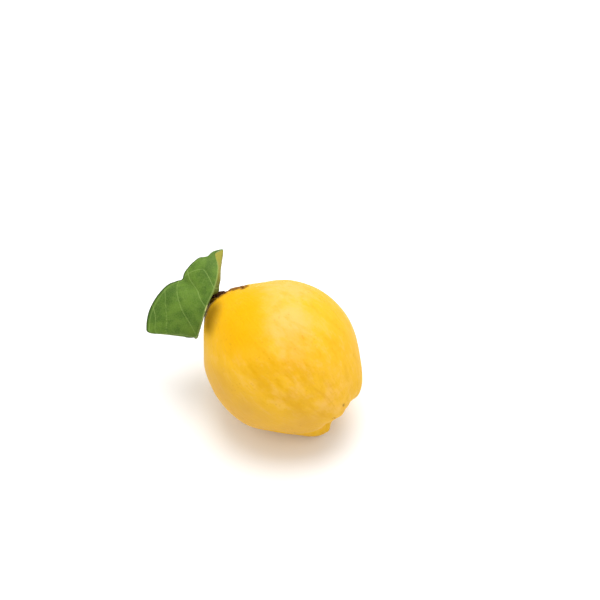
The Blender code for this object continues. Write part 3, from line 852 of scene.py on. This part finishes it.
def add_sepal(shape, place, reach):
    """Adds one sepal to the bmesh."""
    grid = bmesh.ops.create_grid(shape, x_segments=8, y_segments=26, size=1.0)["verts"]
    for vert in grid:
        share, across = (vert.co.y + 1) / 2, vert.co.x
        from_calyx = SEPAL_START + (reach - SEPAL_START) * share
        half = SEPAL_HALF_WIDTH * (0.25 + sin(pi * share ** 0.8) ** 0.8) * (1 - 0.55 * share ** 3)
        half *= 1 + RAGGED * noise.noise(Vector((share * 7, place, across)))
        lift = SEPAL_LIFT + TIP_LIFT * share ** 2 + CUPPED * abs(across) ** 1.5
        lift += 0.0004 * noise.noise(Vector((share * 5, across * 2, place)))
        way = direction(pi - from_calyx, 0)
        side = radians(place) + across * half / (skin_radius(way) * sin(from_calyx) + 0.002)
        vert.co = calyx_place(from_calyx, side, lift)


calyx_shape = bmesh.new()
for sepal_side, sepal_reach in SEPALS:
    add_sepal(calyx_shape, sepal_side, sepal_reach)
bmesh.ops.recalc_face_normals(calyx_shape, faces=calyx_shape.faces)
bmesh.ops.solidify(calyx_shape, geom=calyx_shape.faces[:], thickness=SEPAL_THICKNESS)
button = bmesh.ops.create_uvsphere(calyx_shape, u_segments=40, v_segments=20, radius=1.0)["verts"]
for vert in button:
    side = atan2(vert.co.y, vert.co.x)
    lift = GAP + BUTTON_HEIGHT * (1 + vert.co.z) / 2 + 0.0003 * noise.noise(vert.co * 4)
    vert.co = calyx_place(BUTTON_REACH * vert.co.xy.length, side, lift)
bmesh.ops.recalc_face_normals(calyx_shape, faces=calyx_shape.faces)

dry, tree, shader = new_material("dried_calyx", Roughness=0.9, Specular_IOR_Level=0.2)
place = object_place(tree)
fibres = noise_of(tree, place, 800.0, detail=6.0, roughness=0.65)
tree.links.new(mix(tree, stretch(tree, fibres, 0.34, 0.68), linear("3B2615"), linear("93714A")),
               shader.inputs["Base Color"])
tree.links.new(bumped(tree, fibres, 0.0003, 0.8), shader.inputs["Normal"])
calyx = piece_from(calyx_shape, "calyx_sepals", dry)
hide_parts("calyx")
print("sepals and their button:", len(calyx.data.polygons), "faces")

# %% Make the stamens
stamen_shapes = bmesh.new()
floor_spot = calyx_place(0.0, 0.0, GAP)
for k in range(STAMENS):
    side = 2 * pi * k / STAMENS + 0.35 * sin(3.7 * k)
    ring = 0.0014 + 0.0009 * (k % 2)
    foot = floor_spot + calyx_way * 0.0012 + LIE @ Vector((cos(side), sin(side), 0)) * ring
    lean = LIE @ Vector((cos(side + 0.5), sin(side + 0.5), 0)) * (0.0010 + 0.0007 * sin(5 * k))
    head = foot + calyx_way * (STAMEN_HEIGHT + 0.0008 * sin(4.1 * k)) + lean
    points = curve_through((foot, foot.lerp(head, 0.5) - lean * 0.4, head), STAMEN_POINTS)
    radii = [STAMEN_RADIUS] * (STAMEN_POINTS - 2) + [STAMEN_RADIUS * 1.9, STAMEN_RADIUS * 1.4]
    add_to(stamen_shapes, rod(points, radii, resolution=1))
stamens = piece_from(stamen_shapes, "calyx_stamens", dry)
print(STAMENS, "stamens:", len(stamens.data.polygons), "faces")

# %% [markdown]
# ## The stage
#
# A plain white floor, one broad soft light overhead and a little behind, and an even white sky that
# fills in the shadows, as in a light tent. The Standard view keeps the yellow as clean as the lights make it.

# %% Floor, lights and sky
floor_mesh = bmesh.new()
bmesh.ops.create_grid(floor_mesh, x_segments=1, y_segments=1, size=3.0)
floor_data = bpy.data.meshes.new("floor")
floor_mesh.to_mesh(floor_data)
floor_mesh.free()
floor_piece = bpy.data.objects.new("floor", floor_data)
bpy.context.scene.collection.objects.link(floor_piece)
floor_material, tree, shader = new_material("floor_paper", Roughness=0.9, Specular_IOR_Level=0.1)
shader.inputs["Base Color"].default_value = (0.93, 0.93, 0.93, 1.0)
floor_data.materials.append(floor_material)

scene = bpy.context.scene
scene.view_settings.view_transform = "Standard"
world = bpy.data.worlds.new("tent")
scene.world = world
world.use_nodes = True
world.node_tree.nodes["Background"].inputs["Color"].default_value = (1.0, 1.0, 1.0, 1.0)
world.node_tree.nodes["Background"].inputs["Strength"].default_value = 0.92


def area_light(name, place, aim, size, power):
    """A round lamp at a place, turned towards its aim."""
    data = bpy.data.lights.new(name, "AREA")
    data.shape = "DISK"
    data.size = size
    data.energy = power
    lamp = bpy.data.objects.new(name, data)
    lamp.location = place
    lamp.rotation_euler = (Vector(aim) - Vector(place)).to_track_quat("-Z", "Y").to_euler()
    scene.collection.objects.link(lamp)


area_light("key", (0.05, 0.12, 1.05), (0, 0, 0.04), 0.8, 8.0)
print("lights:", len(bpy.data.lights))

# %% [markdown]
# ## The camera
#
# It looks down at 47 degrees from the front with a long lens, which keeps the fruit's outline true. It
# aims past the fruit, up and to the right, so the fruit lies left of the middle of the picture.

# %% Camera
ELEVATION, DISTANCE = radians(47), 0.9467
AIM_RIGHT, AIM_UP = 0.00897, 0.0332  # how far past the fruit's middle it aims, in metres
toward = Vector((0, -cos(ELEVATION), sin(ELEVATION)))
right, up = Vector((1, 0, 0)), Vector((0, sin(ELEVATION), cos(ELEVATION)))
aim = MIDDLE + AIM_RIGHT * right + AIM_UP * up
camera_data = bpy.data.cameras.new("camera")
camera_data.lens = 100
camera_data.sensor_width = 36
camera_data.clip_start = 0.05
camera = bpy.data.objects.new("camera", camera_data)
camera.location = aim + DISTANCE * toward
camera.rotation_euler = (pi / 2 - ELEVATION, 0, 0)
scene.collection.objects.link(camera)
scene.camera = camera
print("camera at", [round(x, 3) for x in camera.location])
